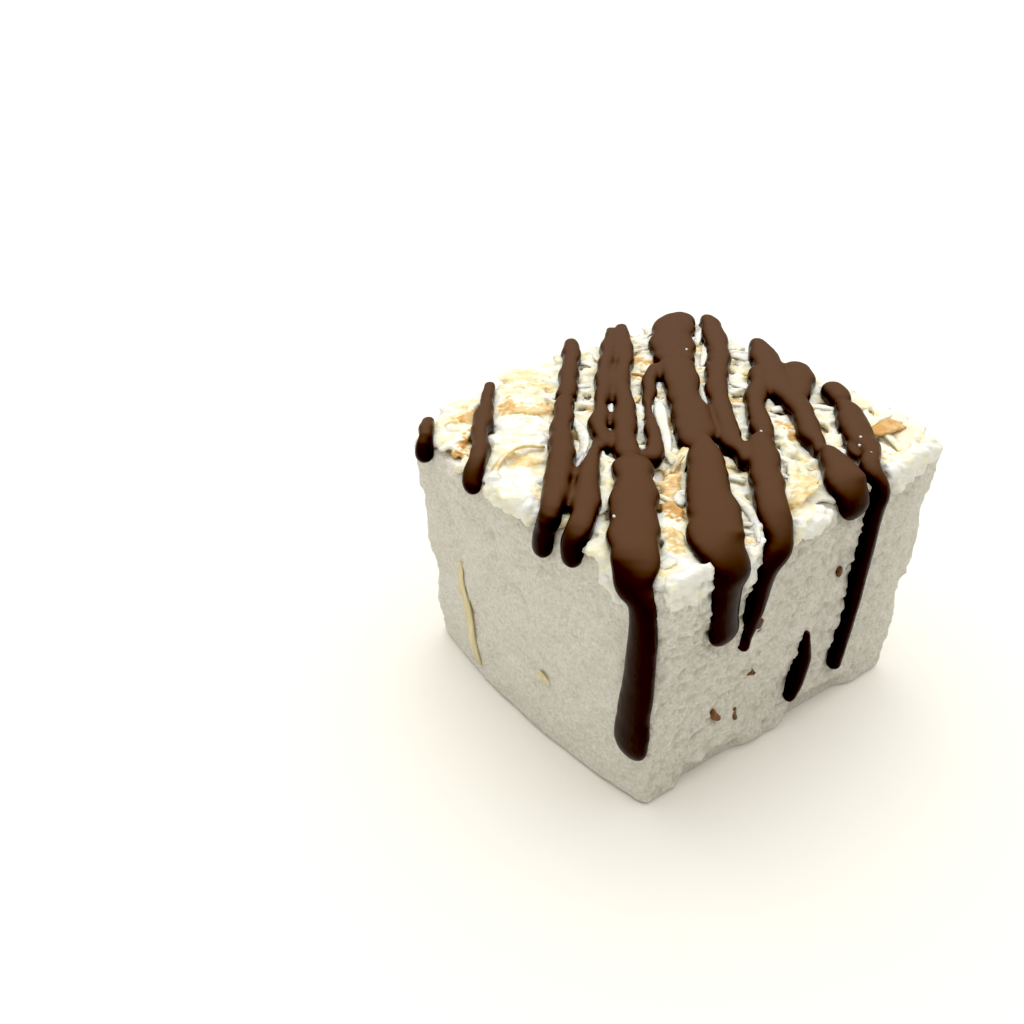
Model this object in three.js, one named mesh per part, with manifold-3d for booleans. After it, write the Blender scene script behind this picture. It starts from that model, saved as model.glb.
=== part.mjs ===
import * as THREE from 'three';
import { mergeVertices } from 'three/addons/utils/BufferGeometryUtils.js';
import Module from 'manifold-3d';

// A hand-cut marshmallow cube, topped with flaked coconut and drizzled with melted chocolate that has
// run over two edges and set. Millimetres, +Z up, standing on z = 0 with its box centred on the origin.
// The front side faces -Y and the right side faces +X, so the front corner is the one at +X, -Y.

// ---- driving dimensions ----

const BED_HEIGHT = 34.6; // floor to the middle of the coconut bed
const COCONUT_DEPTH = 1.6; // how deep the coconut lies over the marshmallow
const CUT_HEIGHT = BED_HEIGHT - COCONUT_DEPTH; // where the knife-cut sides end

// The knife left no square corner: [x, y] of each at the floor and at the top of the cut sides.
const CORNERS = {
  left: { floor: [-21.0, -23.4], rim: [-21.2, -26.4] },
  front: { floor: [20.7, -22.1], rim: [21.0, -23.6] },
  right: { floor: [24.4, 22.4], rim: [21.6, 26.8] },
  back: { floor: [-22.5, 23.4], rim: [-25.0, 27.2] },
};
// How far each side bows out between its corners, at the same two heights.
const SWELL = {
  front: { floor: 2.1, rim: 0.5 },
  right: { floor: 0.0, rim: 0.8 },
  back: { floor: 1.0, rim: 1.0 },
  left: { floor: 1.6, rim: 3.0 },
};
const HALF_WIDTH = { x: 22, y: 24 }; // a side's usual distance from the middle
const EDGE_RADIUS = 1.7; // soft edges, except round the floor
const CRUMPLE = { height: 0.35, size: 11 }; // unevenness of the cut sides
const BED_LUMPS = { height: 0.55, size: 6.5 }; // unevenness of the coconut bed

// Where the bottom of the right side tore away instead of being cut.
const TORN_NOTCHES = [
  { y: -11, depth: 1.6, halfWidth: 6, height: 6 },
  { y: 8, depth: 1.9, halfWidth: 7, height: 7 },
];
const TEAR_STEEPNESS = 2; // how quickly a notch reaches its full depth

const GRID = { across: 13, deep: 14, up: 9 }; // cells along the marshmallow's sides

// The drizzle was swung back and forth along one direction, turned this far from +X.
const DRIZZLE_TURN = THREE.MathUtils.degToRad(-37.6);
const ON_BED = { rise: 1.2, halfHeight: 1.4 }; // middle of a run over the coconut, and its thickness
const ON_SIDE = { rise: 0.55, halfHeight: 1.15 }; // the same for a drip on a cut side
const RIM_LIFT = 1.2; // a run turns over the rim this far above the cut sides
const RUN_MESH = { sides: 7, step: 3.6 };

// The slab was thicker at the back: behind this place along the drizzle the bed climbs, per millimetre.
const BED_CLIMB = { from: -4, slope: 0.05 };

// Each run: `top` lists [along the drizzle, across it, width] over the coconut, `front` lists
// [x, height, width] down the front side and `right` lists [y, height, width] down the right side.
const RUNS = [
  // thin runs that end on the front rim
  { top: [[-2.4, -31.5, 1.8], [2.2, -31.6, 2.2]], front: [[-17, 32.7, 2.1]] },
  {
    top: [[-12.2, -24, 1.4], [-8.9, -24.1, 1.9], [-4.4, -24.2, 2.4], [8.6, -25, 2.6]],
    front: [[-8.4, 33.2, 2.5]],
  },
  {
    top: [
      [-25.2, -11.9, 1.8], [-22.3, -12.1, 2.8], [-12.1, -13.1, 2.7], [-8, -13.6, 3.1], [0.1, -14.4, 2.5],
      [4.6, -14.9, 3.4], [14.6, -15.8, 3.2], [19.6, -16.7, 2.7],
    ],
    front: [[4.7, 30.4, 2.6]],
  },
  {
    top: [[2.8, -10.2, 1.2], [6.6, -10.9, 1.7], [12.6, -12.2, 3], [17.6, -12.9, 3.2], [22.1, -13.8, 3.1]],
    front: [[9.4, 31.7, 2.3]],
  },
  // a pair that touch and part again, and the broad run they feed, with its long drip by the corner
  {
    top: [
      [-28.9, -5.6, 1.8], [-25.9, -5.9, 2.6], [-19.5, -7, 2.9], [-15.9, -7.8, 2.3], [-12.6, -8, 2.7],
      [-8.9, -8.4, 2.7], [-6.2, -9.1, 1.9], [-2.4, -9.6, 2.3], [1.6, -9.9, 2.6], [5.1, -9, 1.6],
    ],
  },
  {
    top: [
      [-30.2, -4.1, 2], [-26.7, -4, 2.6], [-18.8, -4.7, 3], [-16.1, -5, 2.4], [-13, -5.9, 2.6],
      [-8.9, -5.9, 2.9], [-5.3, -6, 2.7], [-1.4, -6.4, 3.2], [2.6, -7, 3.6], [6.6, -7.5, 2.8],
    ],
  },
  {
    top: [[7.2, -7, 3.4], [9.6, -6.2, 4.4], [13.6, -6.6, 4.8], [17.6, -7.3, 5.6], [27.6, -8.5, 5.3]],
    front: [[18.9, 32, 3.2], [19.1, 24, 3.2], [18.7, 16, 3.7], [18.3, 8.4, 4.5]],
  },
  // the broadest run, from the back corner, with a thin branch in front and a narrower run behind
  {
    top: [
      [-17, -0.1, 2.4], [-13.4, -1.5, 2.2], [-9.8, -2.2, 2.2], [-7.1, -2.6, 1.4], [-3.4, -2.9, 1.2],
      [0.1, -3.2, 2], [4.6, -3.5, 2.2], [8.6, -4.4, 2.2],
    ],
  },
  {
    top: [
      [-34.5, 6.1, 2.9], [-32.8, 5.7, 4.9], [-30.2, 4.3, 6.5], [-22.3, 2.9, 6.7], [-17.9, 2.6, 6.5],
      [-13.4, 2.4, 5.2], [-8.9, 2.2, 4.7], [1.6, 1.9, 5.2], [6.1, 0.8, 2.6],
    ],
  },
  {
    top: [
      [-33.8, 9.5, 1.6], [-31.1, 9.9, 3], [-25.9, 9.8, 3.5], [-18.8, 9.1, 3.4], [-13.4, 7.8, 3.3],
      [-8, 6.8, 3.2], [4.6, 6.4, 2.8], [9.1, 7.2, 2.2],
    ],
  },
  // two that run over the right rim
  {
    top: [[3.2, 2.6, 1.6], [6.6, 2.4, 3.8], [10.6, 1.8, 4.9], [15.6, 1, 5.2], [23.1, 0.7, 6.1]],
    right: [[-15.6, 31.5, 3.4], [-15, 27, 3.5], [-14.6, 23.4, 3.9]],
  },
  {
    top: [
      [-16.1, 14, 2.6], [-11.7, 13.1, 3.2], [-8, 11.8, 2.8], [0.6, 10.6, 2.8], [4.6, 10, 2.9],
      [8.6, 8.9, 4.1], [19.6, 7.7, 3.5],
    ],
    right: [[-8.7, 31.5, 3], [-9.5, 28, 2.6], [-10.3, 19.8, 1.8]],
  },
  // a lobed run from the back rim, and the fat drop it leads to
  {
    top: [
      [-25.2, 15.7, 1.8], [-21.5, 15.6, 3.7], [-12.6, 15.7, 5.2], [-8.9, 16.2, 4.6], [-4.9, 16.9, 3],
      [3.1, 16.5, 3], [7.1, 16.4, 1.6],
    ],
  },
  { top: [[-17.7, 19.1, 3.4], [-15.2, 19.3, 4], [-12.6, 18.9, 4.2], [-9.8, 18, 3.6], [-6.7, 17.1, 2.6]] },
  { top: [[5.2, 16.8, 1.6], [8.6, 17.1, 3.6], [11.6, 17.4, 4.6], [15.1, 17, 5]], right: [[4.6, 32.2, 4.2]] },
  // short runs near the right corner, the long thin drip below them, and a drop that fell short of it
  { top: [[-11.7, 22.7, 2.2], [-9.4, 23, 3.3], [-5.8, 23, 3.2]] },
  {
    top: [[-6.4, 22.7, 2.4], [-3.4, 22.9, 3.6], [-0.4, 22.5, 4.1], [3.1, 22.2, 4.2], [6.6, 22.6, 3.2]],
    right: [[12, 31, 2.6], [12.1, 22, 2.4], [11.6, 16, 2.2], [10.2, 6.4, 2]],
  },
  { right: [[1.8, 17.2, 0.8], [2.3, 12.5, 2.5], [1.9, 9, 2.5], [1.2, 5.2, 1.5]] },
];

// Coconut flakes, one to a cell of an even grid over the bed, each a thin shaving that curls up.
const FLAKES = { rows: 7, columns: 7, length: [5, 9], width: [1.3, 2.0], halfHeight: 0.55 };
const FLAKE_CURL = { up: 1.0, aside: 1.2 }; // how far a flake's middle stands off its ends
const FLAKE_AREA = { x: [-21.5, 19.5], y: [-22, 23] }; // where their middles may lie
const FLAKE_NUDGE = 0.35; // how far one may lie from the middle of its cell
const FLAKE_MESH = { sides: 5, step: 6 };
const FLAKE_SEED = 7;

const TIP_RINGS = 3; // extra rings of vertices that shape the ends of a run or flake
const TALLEST = 1.1; // half its height never passes this many half widths

// Centre of the finished piece's box, taken away so that it stands over the origin.
const BOX_CENTRE = [-1.38, 0.3];

const MARSHMALLOW_WHITE = new THREE.MeshStandardMaterial({ color: '#ece6da', roughness: 0.85, metalness: 0 });

// ---- the cube's outline ----

const { lerp, clamp, seededRandom } = THREE.MathUtils;

// Crossed waves, each bent by another, so that their lumps look random but can be repeated.
const WAVES = [
  { along: [1, 0.8, 0], bend: 1.9, bentBy: [0, 0.53, -0.53], phase: 0 },
  { along: [-0.52, 0, 0.87], bend: 1.6, bentBy: [0.61, 0.61, 0], phase: 1.3 },
];

// Unevenness from -1 to 1 at a point, with lumps of roughly the given size.
function unevenness(point, size) {
  const turns = ([x, y, z]) => ((x * point.x + y * point.y + z * point.z) * 2 * Math.PI) / size;
  const [folds, creases] = WAVES.map(({ along, bend, bentBy, phase }) => (
    Math.sin(turns(along) + bend * Math.sin(turns(bentBy) + phase))
  ));
  return (folds + creases) / 2;
}

function cornerAt(name, height) {
  const { floor, rim } = CORNERS[name];
  const share = height / CUT_HEIGHT;
  return [lerp(floor[0], rim[0], share), lerp(floor[1], rim[1], share)];
}

function swellAt(side, height) {
  return lerp(SWELL[side].floor, SWELL[side].rim, height / CUT_HEIGHT);
}

// Each side runs between two corners, along x (0) or y (1), and bows out up or down the other axis.
const SIDES = {
  front: { from: 'left', to: 'front', runs: 0, outward: -1 },
  right: { from: 'front', to: 'right', runs: 1, outward: 1 },
  back: { from: 'back', to: 'right', runs: 0, outward: 1 },
  left: { from: 'left', to: 'back', runs: 1, outward: -1 },
};

// Where a side stands, in x or y, at a place along it and a height.
function sideAt(side, along, height) {
  const { from, to, runs, outward } = SIDES[side];
  const first = cornerAt(from, height);
  const last = cornerAt(to, height);
  const share = (along - first[runs]) / (last[runs] - first[runs]);
  const bow = swellAt(side, height) * 4 * share * (1 - share);
  return lerp(first[1 - runs], last[1 - runs], share) + outward * bow;
}

// How deep the right side is torn away at a place.
function tearDepth(y, height) {
  let depth = 0;
  for (const notch of TORN_NOTCHES) {
    const aside = clamp(1 - Math.abs(y - notch.y) / notch.halfWidth, 0, 1);
    const below = clamp(1 - height / notch.height, 0, 1);
    depth += notch.depth * Math.min(1, TEAR_STEEPNESS * aside) * Math.min(1, TEAR_STEEPNESS * below);
  }
  return depth;
}

// ---- marshmallow and coconut bed ----

const UP = new THREE.Vector3(0, 0, 1);

// How far the bed stands above its front part at a place.
function climbAt(point) {
  const along = point.clone().applyAxisAngle(UP, -DRIZZLE_TURN).x;
  return BED_CLIMB.slope * Math.max(0, BED_CLIMB.from - along);
}

// A box of unit size is softened, pulled to the four cut corners, bowed, crumpled and torn.
function marshmallowBody() {
  const box = new THREE.BoxGeometry(2, 2, 1, GRID.across, GRID.deep, GRID.up);
  box.translate(0, 0, 0.5);
  const place = box.attributes.position;
  for (let i = 0; i < place.count; i += 1) {
    const unit = new THREE.Vector3().fromBufferAttribute(place, i);
    const faces = new THREE.Vector3(Math.trunc(unit.x), Math.trunc(unit.y), Math.trunc(unit.z));
    const soften = EDGE_RADIUS * (1 - 1 / Math.max(1, faces.length()));
    const across = unit.x - (faces.x * soften) / HALF_WIDTH.x;
    const deep = unit.y - (faces.y * soften) / HALF_WIDTH.y;
    const height = unit.z * BED_HEIGHT - faces.z * soften;
    const point = cutPoint(across, deep, height);
    const lumps = BED_LUMPS.height * unevenness(point.clone().setZ(0), BED_LUMPS.size);
    const crumple = CRUMPLE.height * unevenness(point, CRUMPLE.size);
    const out = faces.clone().normalize();
    point.x += out.x * crumple - Math.max(0, faces.x) * tearDepth(point.y, height);
    point.y += out.y * crumple;
    point.z += out.z * lumps + unit.z * climbAt(point);
    place.setXYZ(i, point.x, point.y, point.z);
  }
  return box;
}

// A place between the cut sides: across and deep run from -1 to 1.
function cutPoint(across, deep, height) {
  const [left, front, right, back] = ['left', 'front', 'right', 'back'].map((name) => cornerAt(name, height));
  const [x, y] = [0, 1].map((axis) => lerp(
    lerp(left[axis], front[axis], (1 + across) / 2),
    lerp(back[axis], right[axis], (1 + across) / 2),
    (1 + deep) / 2,
  ));
  const bowX = swellAt(across > 0 ? 'right' : 'left', height) * across * (1 - deep * deep);
  const bowY = swellAt(deep > 0 ? 'back' : 'front', height) * deep * (1 - across * across);
  return new THREE.Vector3(x + bowX, y + bowY, height);
}

// ---- runs of chocolate ----

// A ball drawn out along its knots into a run with round ends and an oval section.
function drawnOut(knots, { sides, step }) {
  const curve = new THREE.CatmullRomCurve3(knots.map((knot) => knot.at), false, 'centripetal');
  const length = curve.getLength();
  const ball = new THREE.SphereGeometry(1, sides, Math.round(length / step) + TIP_RINGS);
  const place = ball.attributes.position;
  for (let i = 0; i < place.count; i += 1) {
    const onBall = new THREE.Vector3().fromBufferAttribute(place, i);
    const along = (1 - onBall.y) / 2;
    const t = curve.getUtoTmapping(along);
    const { out, width, tallness } = between(knots, t);
    const forward = curve.getTangent(t);
    const across = out.clone().cross(forward).normalize();
    const raised = forward.clone().cross(across);
    const fromTip = Math.min(along, 1 - along) * length;
    const missing = Math.max(0, 1 - fromTip / (width / 2));
    const roundness = Math.sqrt(Math.max(0, 1 - missing * missing));
    const turn = Math.atan2(onBall.z, onBall.x);
    const point = curve.getPoint(t);
    point.addScaledVector(across, roundness * (width / 2) * Math.cos(turn));
    point.addScaledVector(raised, roundness * Math.min(tallness, (TALLEST * width) / 2) * Math.sin(turn));
    place.setXYZ(i, point.x, point.y, point.z);
  }
  return ball;
}

// Width, thickness and outward direction part of the way along the knots.
function between(knots, t) {
  const place = t * (knots.length - 1);
  const before = knots[Math.floor(place)];
  const after = knots[Math.ceil(place)];
  const share = place - Math.floor(place);
  return {
    out: before.out.clone().lerp(after.out, share).normalize(),
    width: lerp(before.width, after.width, share),
    tallness: lerp(before.tallness, after.tallness, share),
  };
}

const FORWARD = new THREE.Vector3(0, -1, 0);
const RIGHTWARD = new THREE.Vector3(1, 0, 0);

function onBed([along, across, width]) {
  const at = new THREE.Vector3(along, across, 0).applyAxisAngle(UP, DRIZZLE_TURN);
  at.z = BED_HEIGHT + climbAt(at) + ON_BED.rise;
  return { at, out: UP, width, tallness: ON_BED.halfHeight };
}

function onFront([x, height, width]) {
  const at = new THREE.Vector3(x, sideAt('front', x, height) - ON_SIDE.rise, height);
  return { at, out: FORWARD, width, tallness: ON_SIDE.halfHeight };
}

function onRight([y, height, width]) {
  const at = new THREE.Vector3(sideAt('right', y, height) + ON_SIDE.rise, y, height);
  return { at, out: RIGHTWARD, width, tallness: ON_SIDE.halfHeight };
}

// The knot that turns a run over the rim, half way between its last on the bed and its first below.
function overRim(last, first, onSide) {
  const middle = first.out === FORWARD ? (last.at.x + first.at.x) / 2 : (last.at.y + first.at.y) / 2;
  const knot = onSide([middle, CUT_HEIGHT + RIM_LIFT, (last.width + first.width) / 2]);
  knot.out = first.out.clone().add(UP).normalize();
  return knot;
}

function chocolateRun({ top = [], front = [], right = [] }) {
  const onSide = front.length > 0 ? onFront : onRight;
  const bed = top.map(onBed);
  const side = [...front, ...right].map(onSide);
  const rim = bed.length > 0 && side.length > 0 ? [overRim(bed[bed.length - 1], side[0], onSide)] : [];
  return drawnOut([...bed, ...rim, ...side], RUN_MESH);
}

// ---- coconut flakes ----

function coconutFlakes() {
  seededRandom(FLAKE_SEED);
  const pick = ([low, high]) => lerp(low, high, seededRandom());
  const flakes = [];
  for (let row = 0; row < FLAKES.rows; row += 1) {
    for (let column = 0; column < FLAKES.columns; column += 1) {
      const nudged = () => 0.5 + pick([-FLAKE_NUDGE, FLAKE_NUDGE]);
      const x = lerp(...FLAKE_AREA.x, (column + nudged()) / FLAKES.columns);
      const y = lerp(...FLAKE_AREA.y, (row + nudged()) / FLAKES.rows);
      const spot = new THREE.Vector3(x, y, 0);
      spot.z = BED_HEIGHT + climbAt(spot) + BED_LUMPS.height * unevenness(spot, BED_LUMPS.size);
      const turn = pick([0, Math.PI]);
      flakes.push(curledFlake(spot, turn, pick(FLAKES.length), pick([-1, 1]), pick(FLAKES.width)));
    }
  }
  return flakes;
}

function curledFlake(spot, turn, length, bend, width) {
  const knots = [-1, -0.3, 0.3, 1].map((share) => {
    const curl = 1 - share * share;
    const at = new THREE.Vector3((share * length) / 2, bend * FLAKE_CURL.aside * curl, FLAKE_CURL.up * curl);
    return { at: at.applyAxisAngle(UP, turn).add(spot), out: UP, width, tallness: FLAKES.halfHeight };
  });
  return drawnOut(knots, FLAKE_MESH);
}

// ---- joining ----

const wasm = await Module();
wasm.setup();

function solidFrom(geometry) {
  geometry.deleteAttribute('normal');
  geometry.deleteAttribute('uv');
  const merged = mergeVertices(geometry, 1e-5);
  return new wasm.Manifold(new wasm.Mesh({
    numProp: 3,
    vertProperties: new Float32Array(merged.attributes.position.array),
    triVerts: new Uint32Array(merged.index.array),
  }));
}

// The triangles of the largest shell alone: sealed hollows are filled and loose scraps dropped.
function largestShell(triangles, vertexCount) {
  const parent = Uint32Array.from({ length: vertexCount }, (_, i) => i);
  const shellOf = (vertex) => {
    let at = vertex;
    while (parent[at] !== at) {
      parent[at] = parent[parent[at]];
      at = parent[at];
    }
    return at;
  };
  for (let i = 0; i < triangles.length; i += 3) {
    parent[shellOf(triangles[i])] = shellOf(triangles[i + 1]);
    parent[shellOf(triangles[i + 1])] = shellOf(triangles[i + 2]);
  }
  const shells = new Map();
  for (let i = 0; i < triangles.length; i += 3) {
    const shell = shellOf(triangles[i]);
    shells.set(shell, shells.get(shell) ?? []);
    shells.get(shell).push(triangles[i], triangles[i + 1], triangles[i + 2]);
  }
  return [...shells.values()].reduce((most, shell) => (shell.length > most.length ? shell : most));
}

function fused(geometries) {
  const mesh = geometries.map(solidFrom).reduce((whole, piece) => whole.add(piece)).getMesh();
  const joined = new THREE.BufferGeometry();
  joined.setAttribute('position', new THREE.BufferAttribute(Float32Array.from(mesh.vertProperties), 3));
  joined.setIndex(largestShell(mesh.triVerts, mesh.vertProperties.length / 3));
  joined.translate(-BOX_CENTRE[0], -BOX_CENTRE[1], 0);
  joined.computeVertexNormals();
  return joined;
}

const marshmallow = new THREE.Mesh(
  fused([marshmallowBody(), ...RUNS.map(chocolateRun), ...coconutFlakes()]),
  MARSHMALLOW_WHITE,
);
marshmallow.name = 'marshmallow';

const part = new THREE.Group();
part.add(marshmallow);

export default part;
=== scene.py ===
"""A hand-cut marshmallow cube under flaked coconut and poured chocolate, on a pale table top."""
import math
import random

import bpy
import numpy as np
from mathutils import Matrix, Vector, noise
from mathutils.kdtree import KDTree


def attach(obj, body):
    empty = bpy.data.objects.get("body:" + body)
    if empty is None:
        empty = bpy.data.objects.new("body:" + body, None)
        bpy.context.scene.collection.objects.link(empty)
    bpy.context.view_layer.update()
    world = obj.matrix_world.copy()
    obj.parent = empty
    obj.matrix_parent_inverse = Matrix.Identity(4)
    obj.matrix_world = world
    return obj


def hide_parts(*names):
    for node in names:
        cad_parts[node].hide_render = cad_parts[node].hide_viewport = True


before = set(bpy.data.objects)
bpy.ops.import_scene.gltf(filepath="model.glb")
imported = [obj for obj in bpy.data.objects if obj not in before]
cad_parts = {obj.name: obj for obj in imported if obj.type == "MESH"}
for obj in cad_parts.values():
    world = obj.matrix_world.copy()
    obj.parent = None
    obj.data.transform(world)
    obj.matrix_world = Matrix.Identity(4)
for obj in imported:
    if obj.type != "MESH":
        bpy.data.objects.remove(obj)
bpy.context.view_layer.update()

# ---- The marshmallow ----
# Sugar syrup and gelatine whipped to a foam, set in a slab and cut into cubes with a knife. No cut is quite
# square or flat, and low on the right side the foam tore away from the board instead of being cut.

MM = 0.001
BOX_CENTRE = np.array([-1.38, 0.3, 0.0])  # middle of the finished piece, in the millimetres used below

BED_HEIGHT = 34.6  # floor to the middle of the coconut
CUT_HEIGHT = 33.0  # where the knife-cut sides end
FOAM_TOP = 34.3  # the foam itself, under the coconut
# [x, y] of each corner at the floor and at the top of the cut sides
CORNERS = {
    "left": ([-21.0, -23.4], [-21.2, -26.4]),
    "front": ([20.7, -22.1], [21.0, -23.6]),
    "right": ([24.4, 22.4], [21.6, 26.8]),
    "back": ([-22.5, 23.4], [-25.0, 27.2]),
}
# how far each side bows out between its corners, at the same two heights
SWELL = {"front": (2.1, 0.5), "right": (0.0, 0.8), "back": (1.0, 1.0), "left": (1.6, 3.0)}
HALF_SIZE = np.array([22.0, 24.0, FOAM_TOP / 2])  # of the box that is drawn into shape
ROUNDING = np.array([1.4, 1.4, 1.3])  # soft edges
FLOOR_ROUNDING = 0.7  # the board kept the bottom edge sharper
CRUMPLE = {"height": 0.35, "size": 11.0, "sets in": (-2.0, 7.0)}
TOP_LUMPS = {"height": 0.35, "size": 2.6}
FLAT_FOOT = 1.5  # the cut sides' relief sets in over this height
CELL = 0.36  # spacing of the surface's points

# The drizzle was swung along one direction, turned this far from +X. The slab was thicker at the back:
# behind `from`, along the drizzle, its top climbs by `slope`.
DRIZZLE_TURN = math.radians(-37.6)
ALONG = np.array([math.cos(DRIZZLE_TURN), math.sin(DRIZZLE_TURN)])
ACROSS = np.array([-math.sin(DRIZZLE_TURN), math.cos(DRIZZLE_TURN)])
BED_CLIMB = {"from": -4.0, "slope": 0.05}


def climb_at(points):
    """How far the top stands above its front part at each [x, y]."""
    return BED_CLIMB["slope"] * np.maximum(0, BED_CLIMB["from"] - np.asarray(points)[..., :2] @ ALONG)


# two crossed waves and the two that bend them: which ways they run, how far they bend, and where one starts
WAVE_WAYS = ([1, 0.8, 0], [0, 0.53, -0.53], [-0.52, 0, 0.87], [0.61, 0.61, 0])
WAVE_BENDS = (1.9, 1.6)
WAVE_START = 1.3


def unevenness(points, size):
    """From -1 to 1 at each point, in lumps of that size."""
    turns = [points @ np.array(way) * 2 * math.pi / size for way in WAVE_WAYS]
    folds = np.sin(turns[0] + WAVE_BENDS[0] * np.sin(turns[1]))
    creases = np.sin(turns[2] + WAVE_BENDS[1] * np.sin(turns[3] + WAVE_START))
    return (folds + creases) / 2


def between(start, end, share):
    return start + (end - start) * share


def corner_at(name, height):
    floor, rim = (np.array(level) for level in CORNERS[name])
    return floor + np.multiply.outer(height / CUT_HEIGHT, rim - floor)


def swell_at(side, height):
    floor, rim = SWELL[side]
    return floor + (rim - floor) * height / CUT_HEIGHT


def cut_point(across, deep, height):
    """Points between the cut sides: across and deep run from -1 to 1."""
    left, front, right, back = (corner_at(name, height) for name in CORNERS)
    to_right = (1 + across)[:, None] / 2
    to_back = (1 + deep)[:, None] / 2
    ground = between(between(left, front, to_right), between(back, right, to_right), to_back)
    bow_x = np.where(across > 0, swell_at("right", height), swell_at("left", height))
    bow_y = np.where(deep > 0, swell_at("back", height), swell_at("front", height))
    ground[:, 0] += bow_x * across * (1 - deep ** 2)
    ground[:, 1] += bow_y * deep * (1 - across ** 2)
    return np.column_stack([ground, height])


CLOCKWISE = ((0, 0), (0, 1), (1, 1), (1, 0))
ANTICLOCKWISE = ((0, 0), (1, 0), (1, 1), (0, 1))


def box_skin(cells):
    """Shared corners, counted in cells, and outward quads of a box's skin."""
    corners, quads = {}, []
    for axis in range(3):
        u, v = (axis + 1) % 3, (axis + 2) % 3
        for level, steps in ((0, CLOCKWISE), (cells[axis], ANTICLOCKWISE)):
            for i in range(cells[u]):
                for j in range(cells[v]):
                    quad = []
                    for step_u, step_v in steps:
                        corner = [0, 0, 0]
                        corner[axis], corner[u], corner[v] = level, i + step_u, j + step_v
                        quad.append(corners.setdefault(tuple(corner), len(corners)))
                    quads.append(quad)
    return np.array(list(corners), float), quads


def rounded(points):
    """A box's skin drawn in to soft edges, and the way out at each point."""
    lowest = -HALF_SIZE + ROUNDING * [1, 1, 0] + [0, 0, FLOOR_ROUNDING]
    core = np.clip(points, lowest, HALF_SIZE - ROUNDING)
    radius = np.tile(ROUNDING, (len(points), 1))
    radius[points[:, 2] < 0, 2] = FLOOR_ROUNDING
    out = (points - core) / radius
    out /= np.linalg.norm(out, axis=1)[:, None]
    return core + out * radius, out


def smooth_step(low, high, value):
    share = np.clip((value - low) / (high - low), 0, 1)
    return share * share * (3 - 2 * share)


def lumps(points, size, stretch=(1, 1, 1), shift=0):
    """Soft random lumps from -1 to 1, of that size, drawn out along the axes by stretch. Each shift gives
    other ones."""
    scaled = (points + shift) / (size * np.array(stretch))
    return np.array([noise.noise(Vector(point)) for point in scaled])


def raised(points, pattern):
    """How far each point stands out in a pattern of lumps."""
    shape = {key: pattern[key] for key in ("size", "stretch", "shift") if key in pattern}
    return pattern["height"] * lumps(points, **shape)


# Low on the right side the foam tore: [y of its middle, half its width, its height, its depth].
TEARS = [[-11.0, 6.5, 3.9, 1.2], [8.5, 7.5, 4.2, 1.5]]
TEAR_RAGGED = {"height": 0.8, "size": 2.6}
TEAR_FLOOR = 0.55  # the share of its width at full depth
TEAR_TOP = (0.5, -0.7)  # heights over its edge between which it deepens
# the foam above a tear was pulled outward
TORN_LIP = {"depth": 0.45, "above": 1.0, "reach": 0.9}


def torn(points):
    """How far the right side stands back, or out, where it tore."""
    y, height = points[:, 1], points[:, 2]
    ragged = raised(points * [0, 1, 0], TEAR_RAGGED)
    offset = np.zeros(len(points))
    for middle, half_width, top, depth in TEARS:
        inside = smooth_step(half_width, half_width * TEAR_FLOOR, np.abs(y - middle + ragged))
        edge = top + ragged
        offset -= depth * inside * smooth_step(edge + TEAR_TOP[0], edge + TEAR_TOP[1], height)
        from_lip = (height - edge - TORN_LIP["above"]) / TORN_LIP["reach"]
        offset += TORN_LIP["depth"] * inside * np.exp(-from_lip ** 2)
    return offset


cells = np.round(2 * HALF_SIZE / CELL).astype(int)
box_points, foam_faces = box_skin(cells)
foam_points, way_out = rounded((box_points / cells * 2 - 1) * HALF_SIZE)
foam_points = cut_point(
    foam_points[:, 0] / HALF_SIZE[0], foam_points[:, 1] / HALF_SIZE[1], foam_points[:, 2] + HALF_SIZE[2],
)
foam_x, foam_y, foam_z = foam_points.T  # views, so they follow each change below
sideways = np.abs(way_out[:, :2]).max(axis=1)
facing_right = np.maximum(way_out[:, 0], 0) ** 2
facing_front = np.maximum(-way_out[:, 1], 0) ** 2
off_floor = smooth_step(0, FLAT_FOOT, foam_z)
crumple = CRUMPLE["height"] * unevenness(foam_points, CRUMPLE["size"])
crumple *= smooth_step(*CRUMPLE["sets in"], foam_z)
foam_points[:, :2] += way_out[:, :2] * crumple[:, None]
foam_x += facing_right * torn(foam_points)
foam_z += np.maximum(way_out[:, 2], 0) * raised(foam_points * [1, 1, 0], TOP_LUMPS)
foam_z += foam_z / FOAM_TOP * climb_at(foam_points)

# The knife dragged the foam: level grain on the front, wool and slanting stretch marks on the right, a soft
# crumb over all, and loose fluff where the cut met the coconut, most of it by the front corner.
CRUMB = {"height": 0.16, "size": 1.9}
FINE_CRUMB = {"height": 0.24, "size": 0.8, "shift": 50}
GRAIN = {"height": 0.2, "size": 0.8, "stretch": (4.0, 4.0, 1.0)}
STRETCH_MARKS = {"height": 0.6, "size": 1.1, "stretch": (1.0, 3.8, 0.9), "climb": 0.45, "groove": 0.2}
WOOL = {"height": 0.5, "size": 0.75, "shift": 70}
# between these y, from the back corner forward, the right side's roughness grows from this share to all of it
ROUGH = {"y": (25.0, 15.0), "least": 0.3}
FLUFF = {"height": 0.5, "size": 2.4, "shift": 90, "heights": (30.5, CUT_HEIGHT)}
CORNER_FLUFF = {
    "height": 1.2, "size": 1.9, "shift": 30, "least": 0.3, "at": (21.5, -20.0), "reach": 5.0,
    "heights": (25.0, CUT_HEIGHT - 1),
}
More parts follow.
